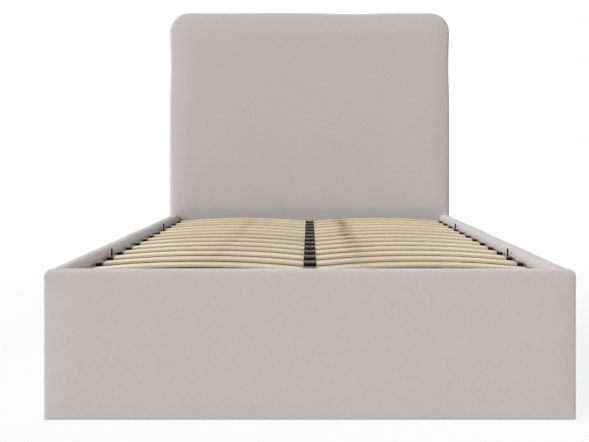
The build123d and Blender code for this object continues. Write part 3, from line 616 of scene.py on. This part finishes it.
CLOTH_FRAMES = 20
ON_PLANE = 1e-5
HEAD_CORNER = 0.091
HEAD_FRONT_ROUND = 0.014
HEAD_BACK_ROUND = 0.006
LINING_HEM = 0.010
LINING_RECESS = 0.003
FOOT_CORNER = 0.014
FOOT_FRONT_ROUND = 0.006
FOOT_BACK_ROUND = 0.020
RAIL_TOP_ROUND = 0.018
RAIL_FOOT_ROUND = 0.006
HELD_UNDER = 0.012
# A row this far up keeps the bottom edge's shading off a cover's face
BOTTOM_ROW = 0.004


def held_points(piece, held):
    """Puts the points that pass the test into a group, which the cloth leaves where they are."""
    group = piece.vertex_groups.new(name="held")
    for point in piece.data.vertices:
        if held(point.co):
            group.add([point.index], 1.0, "REPLACE")


def fill_out(piece, held, pressure, most):
    """Fills a cover with foam: cloth under pressure, fixed at the held points, its swell kept small."""
    held_points(piece, held)
    start = [point.co.copy() for point in piece.data.vertices]
    outwards = [point.normal.copy() for point in piece.data.vertices]
    only(piece)
    bpy.ops.object.modifier_add(type="CLOTH")
    cloth = piece.modifiers[-1]
    cloth.settings.vertex_group_mass = "held"
    cloth.settings.use_pressure = True
    cloth.settings.uniform_pressure_force = pressure
    cloth.settings.effector_weights.gravity = 0
    cloth.settings.quality = 6
    cloth.settings.bending_stiffness = 2.0
    cloth.collision_settings.use_collision = False
    cloth.point_cache.frame_start, cloth.point_cache.frame_end = 1, CLOTH_FRAMES
    for moment in range(1, CLOTH_FRAMES + 1):
        bpy.context.scene.frame_set(moment)
    bpy.ops.object.modifier_apply(modifier=cloth.name)
    for point, before, out in zip(piece.data.vertices, start, outwards):
        swell = max(0.0, (point.co - before).dot(out))
        point.co = before + out * most * math.tanh(swell / most)
    bpy.context.scene.frame_set(1)
    piece.vertex_groups.clear()


def soften(piece):
    """Rounds off a cover's last facets."""
    modify(piece, "SUBSURF", levels=1, render_levels=1)
    smooth(piece)


def hill(value, centre, width):
    """A smooth hump, 1 at its centre."""
    return math.exp(-(((value - centre) / width) ** 2))


def headboard_cover():
    """The padded headboard: a boxed cover with wide round corners, open at the back for its lining."""
    low = (-BED_HALF - 0.002, HEAD_FACE - 0.001, CLEAR_OF_FLOOR)
    high = (BED_HALF + 0.002, HEAD_BACK, HEAD_TOP + 0.002)
    front, back = low[1] + ON_PLANE, high[1] - ON_PLANE
    piece = block("headboard_cover", low, high)
    round_edges(
        piece,
        lambda a, b: min(a.z, b.z) > 1.2 and abs(a.x - b.x) < 1e-6,
        HEAD_CORNER, 10,
    )
    round_edges(
        piece,
        lambda a, b: max(a.y, b.y) < front and max(a.z, b.z) > 0.01,
        HEAD_FRONT_ROUND, 5,
    )
    round_edges(piece, lambda a, b: min(a.y, b.y) > back, HEAD_BACK_ROUND, 2)
    pick_faces(piece, lambda c, n: n.y > 0.99)
    bpy.ops.mesh.inset(thickness=LINING_HEM)
    bpy.ops.mesh.extrude_region_move(TRANSFORM_OT_translate={"value": (0, -LINING_RECESS, 0)})
    done()
    keep_corners(piece)
    cut_rows(piece, 0, spread(low[0] + 0.03, high[0] - 0.03, 0.035))
    cut_rows(piece, 2, spread(low[2], high[2] - 0.03, 0.035))

    def held(p):
        return p.y > HEAD_BACK - 0.012 or (p.z < 0.37 and p.y < HEAD_FACE + 0.01)

    fill_out(piece, held, pressure=2.0, most=0.006)
    cut_rows(piece, 2, [low[2] + BOTTOM_ROW])

    # The top swells a little on the left and sinks on the right, and both sides draw in under it
    for point in piece.data.vertices:
        p = point.co
        top = max(0.0, (p.z - 1.15) / 0.15)
        p.z += top * (0.0012 * hill(p.x, -0.15, 0.09) - 0.0045 * hill(p.x, 0.196, 0.11))
        side = abs(p.x) / BED_HALF
        p.x -= math.copysign(0.0045 * side ** 6 * hill(p.z, 1.06, 0.10), p.x)
    soften(piece)
    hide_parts("headboard_padding")
    dress(piece, COVER)


def footboard_cover():
    """The padded footboard: a boxed cover, its top rolled over the back edge."""
    low = (-BED_HALF - 0.0015, FOOT_FRONT, CLEAR_OF_FLOOR)
    high = (BED_HALF + 0.0015, FOOT_BACK, SIDE_TOP)
    front, back = low[1] + ON_PLANE, high[1] - ON_PLANE

    def top_side(a, b):
        outside = min(abs(a.x), abs(b.x)) > 0.6
        return outside and abs(a.y - b.y) > 0.01 and min(a.z, b.z) > 0.3

    piece = block("footboard_cover", low, high)
    round_edges(piece, top_side, FOOT_CORNER, 4)
    round_edges(
        piece,
        lambda a, b: max(a.y, b.y) < front and max(a.z, b.z) > 0.01,
        FOOT_FRONT_ROUND, 4,
    )
    round_edges(
        piece,
        lambda a, b: min(a.y, b.y) > back and min(a.z, b.z) > 0.3,
        FOOT_BACK_ROUND, 6,
    )
    keep_corners(piece)
    cut_rows(piece, 0, spread(low[0] + 0.02, high[0] - 0.02, 0.03))
    cut_rows(piece, 2, spread(low[2] + 0.02, high[2] - 0.02, 0.03))

    def held(p):
        return p.z < HELD_UNDER or (p.y > FOOT_BACK - 0.002 and p.z < 0.335)

    fill_out(piece, held, pressure=1.5, most=0.004)
    cut_rows(piece, 2, [low[2] + BOTTOM_ROW])
    soften(piece)
    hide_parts("footboard_padding")
    dress(piece, COVER)


def rail_cover(side):
    """A side rail's cover, made on the right and mirrored for the left."""
    low = (RAIL_INNER, FOOT_BACK, CLEAR_OF_FLOOR)
    high = (BED_HALF - 0.001, HEAD_FACE, SIDE_TOP)
    middle = 0.5 * (low[1] + high[1])

    def top_long(a, b):
        return min(a.z, b.z) > 0.3 and abs(a.y - b.y) > 1

    def outer_foot(a, b):
        return max(a.z, b.z) < 0.1 and abs(a.y - b.y) > 1 and min(a.x, b.x) > 0.64

    piece = block(side + "_rail_cover", low, high)
    round_edges(piece, top_long, RAIL_TOP_ROUND, 6)
    round_edges(piece, outer_foot, RAIL_FOOT_ROUND, 3)
    keep_corners(piece)
    cut_rows(piece, 1, spread(low[1], high[1], 0.03))
    cut_rows(piece, 2, spread(low[2] + 0.01, high[2] - 0.012, 0.03))

    def held(p):
        return p.z < HELD_UNDER or p.x < RAIL_INNER + 0.002 or abs(p.y - middle) > 0.95

    fill_out(piece, held, pressure=1.5, most=0.003)
    cut_rows(piece, 2, [low[2] + BOTTOM_ROW])

    # The top isn't quite straight
    start = 0.0 if side == "right" else 1.7
    for point in piece.data.vertices:
        p = point.co
        if p.z > 0.34:
            p.z += 0.0008 * math.sin(9.0 * p.y + start) * hill(p.y, 0, 0.8)
    if side == "left":
        modify(piece, "MIRROR", use_axis=(True, False, False), use_bisect_axis=(False, False, False))
        keep_left(piece)
    soften(piece)
    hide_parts(side + "_rail_padding")
    dress(piece, COVER)


def keep_left(piece):
    """Deletes the right-hand half of a mirrored piece."""
    pick_faces(piece, lambda c, n: c.x > 0)
    bpy.ops.mesh.delete(type="FACE")
    bpy.ops.mesh.select_all(action="SELECT")
    bpy.ops.mesh.delete_loose()
    bpy.ops.mesh.normals_make_consistent(inside=False)
    done()


headboard_cover()
footboard_cover()
rail_cover("right")
rail_cover("left")


# Steel, plastic and wood with their edges eased


def eased_pieces():
    """Copies of the hard parts, their edges broken as moulding, pressing or sanding leaves them."""
    for finish, width, nodes in (
        (PLASTIC, 0.0007, ("side_slat_caps", "centre_slat_caps", "tube_end_caps")),
        (RUBBER, 0.0012, ("frame_rest_buffers",)),
        (ZINC, 0.0005, ("corner_brackets", "frame_rest_brackets")),
        (ZINC, 0.0005, ("lower_pivot_pins", "upper_pivot_pins")),
        (ZINC, 0.0005, ("strut_lug_studs", "upper_bar_screws")),
        (PINE, 0.0015, ("floor_ledges", "centre_floor_bearer")),
        (PINE, 0.0015, ("foot_rest_batten", "headboard_battens")),
        (HARDBOARD, 0.0008, ("floor_panel_foot", "floor_panel_middle", "floor_panel_head")),
    ):
        for node in nodes:
            eased(node, finish, width)
    for side, _ in SIDES:
        for part in ("hinge_plate", "front_arm", "rear_arm", "upper_bar"):
            eased(side + "_" + part, POWDER, 0.0006)


eased_pieces()


# Slats


def bow(x):
    """How far a right-hand slat stands above its ends at X, in metres."""
    along = (x - SLAT_MIDDLE) / SLAT_HALF_LENGTH
    return SLAT_RISE * (1 - along * along)


def bent_slat():
    """A right-hand slat: a flat blank with lightly sanded edges, cut across and bent to its bow."""
    low = (SLAT_ENDS[0], -SLAT_HALF_WIDTH, SLAT_UNDER)
    high = (SLAT_ENDS[1], SLAT_HALF_WIDTH, SLAT_UNDER + SLAT_THICK)
    slat = block("slat", low, high)
    round_edges(slat, lambda a, b: abs(a.x - b.x) > 0.1, 0.0013, 3)
    round_edges(slat, lambda a, b: abs(a.x - b.x) < 1e-6, 0.0005, 1)
    cut_rows(slat, 0, spread(SLAT_ENDS[0] + 0.002, SLAT_ENDS[1] - 0.002, 0.013))
    middle, reach = SLAT_UNDER + SLAT_THICK / 2, 0.001
    for point in slat.data.vertices:
        p = point.co
        slope = (bow(p.x + reach) - bow(p.x - reach)) / (2 * reach)
        rise = bow(p.x)
        p.x -= (p.z - middle) * slope
        p.z += rise
    smooth(slat, 40)
    return slat


def slats():
    """Both slats of each row; a slat is the same either way round, so the left is moved across."""
    first = bent_slat()
    for row in range(SLAT_ROWS):
        for side, shift in (("right", 0.0), ("left", -2 * SLAT_MIDDLE)):
            slat = copy_of(first, f"bent_slat_{side}_{row + 1:02d}")
            slat.location = (shift, SLAT_FIRST + row * SLAT_PITCH, 0)
            place_into_mesh(slat)
            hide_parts(f"slat_row_{row + 1:02d}")
            dress(slat, BEECH, "slat_frame")
    bpy.data.objects.remove(first)


slats()


# Bolts with their sockets

BOARD_BOLT_X = 0.5825
PLATE_FACE = 0.604
BRACKET_BOLT_HEIGHTS = (0.140, 0.230)
PLATE_BOLTS = ((0.0252, 0.1127), (0.1106, 0.0984), (0.1789, 0.1082))
REST_BOLTS = ((-0.324, 0.265), (-0.292, 0.265))
BOLT_HEAD_RADIUS = 0.008
BOLT_HEAD_HIGH = 0.0036
BOLT_HEAD_ROUND = 0.0017
SHANK_RADIUS = 0.004
SHANK_LONG = 0.034
SOCKET_RADIUS = 0.0029
SOCKET_FLOOR = 0.0012
SOCKET_CUT = 0.006


def socket_bolt():
    """A low round head with a hexagon socket, and its shank, along Z, with the steel at Z 0."""
    bpy.ops.object.select_all(action="DESELECT")
    bpy.ops.mesh.primitive_cylinder_add(
        vertices=36, radius=BOLT_HEAD_RADIUS, depth=BOLT_HEAD_HIGH, location=(0, 0, BOLT_HEAD_HIGH / 2)
    )
    bolt = named(bpy.context.object, "socket_bolt")
    place_into_mesh(bolt)
    pick_faces(bolt, lambda c, n: n.z < -0.9)
    bpy.ops.mesh.inset(thickness=BOLT_HEAD_RADIUS - SHANK_RADIUS)
    bpy.ops.mesh.extrude_region_move(TRANSFORM_OT_translate={"value": (0, 0, -SHANK_LONG)})
    done()
    round_edges(bolt, lambda a, b: min(a.z, b.z) > BOLT_HEAD_HIGH - 0.0001, BOLT_HEAD_ROUND, 4)
    bpy.ops.object.select_all(action="DESELECT")
    middle = SOCKET_FLOOR + SOCKET_CUT / 2
    bpy.ops.mesh.primitive_cylinder_add(
        vertices=6, radius=SOCKET_RADIUS, depth=SOCKET_CUT, location=(0, 0, middle)
    )
    key = bpy.context.object
    place_into_mesh(key)
    modify(bolt, "BOOLEAN", object=key, operation="DIFFERENCE")
    bpy.data.objects.remove(key)
    ease_edges(bolt, 0.00025, 40)
    smooth(bolt, 35)
    return bolt


def bolt_places():
    """Seat and outward direction of each right-hand bolt, from the steel into the room."""
    to_middle, to_head, to_foot = (-1, 0, 0), (0, 1, 0), (0, -1, 0)
    places = []
    for height in BRACKET_BOLT_HEIGHTS:
        places += [
            ((PLATE_FACE, FOOT_BACK + 0.0245, height), to_middle),
            ((PLATE_FACE, HEAD_FACE - 0.0245, height), to_middle),
            ((BOARD_BOLT_X, FOOT_BACK + 0.003, height), to_head),
            ((BOARD_BOLT_X, HEAD_FACE - 0.003, height), to_foot),
        ]
    return places + [((PLATE_FACE, y, z), to_middle) for y, z in PLATE_BOLTS + REST_BOLTS]


def base_bolts():
    """A copy of the bolt at each place on the right, and at its mirror image on the left."""
    first = socket_bolt()
    for index, (seat, out) in enumerate(bolt_places()):
        for side, hand in SIDES:
            bolt = copy_of(first, f"socket_bolt_{side}_{index + 1:02d}")
            bolt.location = (seat[0] * hand, seat[1], seat[2])
            stand_along(bolt, Vector((out[0] * hand, out[1], out[2])))
            place_into_mesh(bolt)
            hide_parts("base_bolts")
            dress(bolt, ZINC)
    bpy.data.objects.remove(first)


base_bolts()


# Gas struts

STRUT_FOOT = Vector((0.584, 0.196, 0.084))
STRUT_HEAD = Vector((0.584, 0.0923, 0.2792))


def ring(name, centre, way, radius, thickness):
    """A turned ring about an axis."""
    bpy.ops.object.select_all(action="DESELECT")
    bpy.ops.mesh.primitive_torus_add(
        major_segments=40, minor_segments=12,
        major_radius=radius, minor_radius=thickness, location=centre,
    )
    piece = named(bpy.context.object, name)
    stand_along(piece, way)
    place_into_mesh(piece)
    smooth(piece)
    return piece


def strut_trim():
    """The rolled-in nose, the base crimp and the rod's wiper ring of each gas strut."""
    for side, hand in SIDES:
        foot = Vector((STRUT_FOOT.x * hand, STRUT_FOOT.y, STRUT_FOOT.z))
        head = Vector((STRUT_HEAD.x * hand, STRUT_HEAD.y, STRUT_HEAD.z))
        way = (head - foot).normalized()
        for part, height, radius, thickness, finish, slot in (
            ("nose", 0.1502, 0.0093, 0.0017, GLOSS, "black_steel"),
            ("base_crimp", 0.0172, 0.0096, 0.0014, GLOSS, "black_steel"),
            ("wiper", 0.1526, 0.0064, 0.0011, RUBBER, "buffer_rubber"),
        ):
            piece = ring(f"{side}_strut_{part}", foot + way * height, way, radius, thickness)
            dress(piece, finish, "strut_cylinders")


strut_trim()


# Welds of the slat frame

WELD_RADIUS = 0.0024
WELD_SUNK = 0.0016
WELD_TAPER = 0.004
WELD_END_GAP = 0.003
CENTRE_TUBE_HALF = 0.015


def weld(name, start, end):
    """A bead of weld between two points, with the ripples that the torch leaves."""
    start, end = Vector(start), Vector(end)
    length = (end - start).length
    bpy.ops.object.select_all(action="DESELECT")
    bpy.ops.mesh.primitive_cylinder_add(
        vertices=12, radius=WELD_RADIUS, depth=length, end_fill_type="TRIFAN", location=(0, 0, 0)
    )
    bead = named(bpy.context.object, name)
    cut_rows(bead, 2, spread(-length / 2, length / 2, 0.0011))
    for point in bead.data.vertices:
        z = point.co.z
        ripple = 1.0 + 0.10 * math.sin(z * 2200.0) + 0.06 * math.sin(z * 410.0)
        close = min(1.0, 0.55 + (length / 2 - abs(z)) / WELD_TAPER)
        point.co.x *= ripple * close
        point.co.y *= ripple * close
    bead.location = (start + end) / 2
    stand_along(bead, end - start)
    place_into_mesh(bead)
    smooth(bead)
    dress(bead, POWDER, "slat_frame")


def frame_welds():
    """Beads over, under and down the joints of the cross tubes, and round the centre tube's ends."""
    over, under = TUBE_TOP - WELD_SUNK, TUBE_UNDER + WELD_SUNK
    low, high = TUBE_UNDER + WELD_END_GAP, TUBE_TOP - WELD_END_GAP
    for end, outer, inwards in (("foot", FOOT_BACK + 0.016, 1), ("head", HEAD_FACE - 0.026, -1)):
        inner = outer + inwards * TUBE_WIDE
        start, stop = outer + inwards * WELD_END_GAP, inner - inwards * 0.002
        corner = inner - inwards * 0.0006
        for side, hand in SIDES:
            at, edge, centre = TUBE_IN * hand, (TUBE_IN - 0.0006) * hand, CENTRE_TUBE_HALF * hand
            weld(f"weld_{end}_{side}_top", (at, start, over), (at, stop, over))
            weld(f"weld_{end}_{side}_under", (at, start, under), (at, stop, under))
            weld(f"weld_{end}_{side}_inner", (edge, corner, low), (edge, corner, high))
            weld(f"weld_{end}_centre_{side}", (centre, inner, low), (centre, inner, high))
        half = CENTRE_TUBE_HALF - 0.0025
        weld(f"weld_{end}_centre_top", (-half, inner, over), (half, inner, over))


frame_welds()


# Staples round the headboard's back

STAPLE_HALF = 0.006
STAPLE_SIDE = 0.628
STAPLE_TOP = 1.283
STAPLE_FOOT = 0.030
STAPLE_CORNER = 0.078


def staple():
    """A flat wire staple, its crown on the cloth and its legs in it."""
    piece = block("staple", (-STAPLE_HALF, 0.0, -0.0006), (STAPLE_HALF, 0.0005, 0.0006))
    pick_faces(piece, lambda c, n: abs(n.x) > 0.9)
    bpy.ops.mesh.extrude_region_shrink_fatten(TRANSFORM_OT_shrink_fatten={"value": 0.0007})
    done()
    for point in piece.data.vertices:
        if abs(point.co.x) > STAPLE_HALF + 0.0001:
            point.co.y -= 0.0006
    smooth(piece)
    return piece


def staple_places():
    """X, Z and turn in degrees of each staple: the sides, the top and foot, then the corners."""
    across, upright = STAPLE_SIDE - STAPLE_CORNER, STAPLE_TOP - STAPLE_CORNER
    places = []
    for z in spread(STAPLE_FOOT, upright, 0.038):
        places += [(STAPLE_SIDE, z, 93), (-STAPLE_SIDE, z, 86)]
    for x in spread(-across, across, 0.040):
        places += [(x, STAPLE_TOP, 2), (x, STAPLE_FOOT, -3)]
    for degrees in (30, 60):
        angle = math.radians(degrees)
        x, z = across + STAPLE_CORNER * math.cos(angle), upright + STAPLE_CORNER * math.sin(angle)
        places += [(x * hand, z, hand * (degrees - 90)) for hand in (1, -1)]
    return places


def lining_staples():
    """Staples a finger's width inside the lining's edge, none of them quite straight."""
    first = staple()
    for index, (x, z, turn) in enumerate(staple_places()):
        piece = copy_of(first, f"lining_staple_{index + 1:03d}")
        piece.location = (x, HEAD_BACK - 0.0002, z)
        piece.rotation_euler = (0, -math.radians(turn + 5 * math.sin(index * 2.1)), 0)
        place_into_mesh(piece)
        dress(piece, ZINC)
    bpy.data.objects.remove(first)


lining_staples()


# Studio


WHITE = colour(1, 1, 1)


def seen_straight(w):
    """1 for what the camera sees straight, in a gloss or through glass, 0 for bounced light."""
    path = w.node("LightPath").outputs
    seen = w.plus(path["Is Camera Ray"], path["Is Glossy Ray"], clamp=True)
    return w.plus(seen, path["Is Transmission Ray"], clamp=True)


def studio_floor():
    """A floor that looks white, fades into the air round it, and lights the bed like a grey one."""
    bpy.ops.object.select_all(action="DESELECT")
    bpy.ops.mesh.primitive_plane_add(size=30, location=(0, 0, 0))
    floor = named(bpy.context.object, "studio_floor")
    made, w, shader, place = start_finish("studio_floor")
    made.node_tree.nodes.remove(shader)
    lighting = w.node("BsdfDiffuse", Color=colour(0.65, 0.65, 0.65)).outputs[0]
    near = w.node("AddShader")
    w.feed(near.inputs[0], w.node("BsdfDiffuse", Color=colour(0.15, 0.15, 0.15)).outputs[0])
    w.feed(near.inputs[1], w.node("Emission", Color=WHITE, Strength=0.83).outputs[0])
    away = w.node("VectorMath")
    away.operation = "LENGTH"
    w.feed(away.inputs[0], w.stretched(place, (1.0, 0.75, 1.0)))
    fade = w.remap(away.outputs["Value"], 1.0, 2.4)
    air = w.node("Emission", Color=WHITE, Strength=1.0).outputs[0]
    ground = w.blend(fade, near.outputs[0], air)
    output = made.node_tree.nodes["Material Output"]
    w.feed(output.inputs["Surface"], w.blend(seen_straight(w), lighting, ground))
    floor.data.materials.append(made)


def studio_air():
    """White to the camera, and a soft grey light from all round to the bed."""
    world = bpy.data.worlds.new("studio_air")
    bpy.context.scene.world = world
    world.use_nodes = True
    world.node_tree.nodes.clear()
    w = Wiring(world.node_tree)
    lighting = w.node("Background", Color=WHITE, Strength=0.47).outputs[0]
    shown = w.node("Background", Color=WHITE, Strength=1.0).outputs[0]
    output = w.node("OutputWorld")
    w.feed(output.inputs["Surface"], w.blend(seen_straight(w), lighting, shown))


def soft_lamp(name, place, strength, degrees=40):
    """An even, soft light from one side, like a large window far off."""
    lamp = bpy.data.lights.new(name, "SUN")
    lamp.energy, lamp.angle = strength, math.radians(degrees)
    stand = bpy.data.objects.new(name, lamp)
    bpy.context.scene.collection.objects.link(stand)
    stand.location = place
    stand.rotation_mode = "QUATERNION"
    stand.rotation_quaternion = (-Vector(place)).to_track_quat("-Z", "Y")


def camera():
    """The photograph's level view from the foot, its centre shifted as the photograph's is."""
    lens = bpy.data.cameras.new("photo_camera")
    lens.sensor_width, lens.lens = 36.0, 54.3
    lens.shift_x, lens.shift_y = -0.0250, -0.1146
    stand = bpy.data.objects.new("photo_camera", lens)
    bpy.context.scene.collection.objects.link(stand)
    stand.location = (-0.0015, -3.193, 0.6517)
    stand.rotation_euler = (math.radians(90), 0, 0)
    bpy.context.scene.camera = stand


studio_floor()
studio_air()
soft_lamp("window_left", place=(-7.4, -4.34, 4.4), strength=2.41)
soft_lamp("pale_wall_right", place=(6.0, 2.2, 1.0), strength=0.73)
camera()
bpy.context.scene.view_settings.view_transform = "Standard"
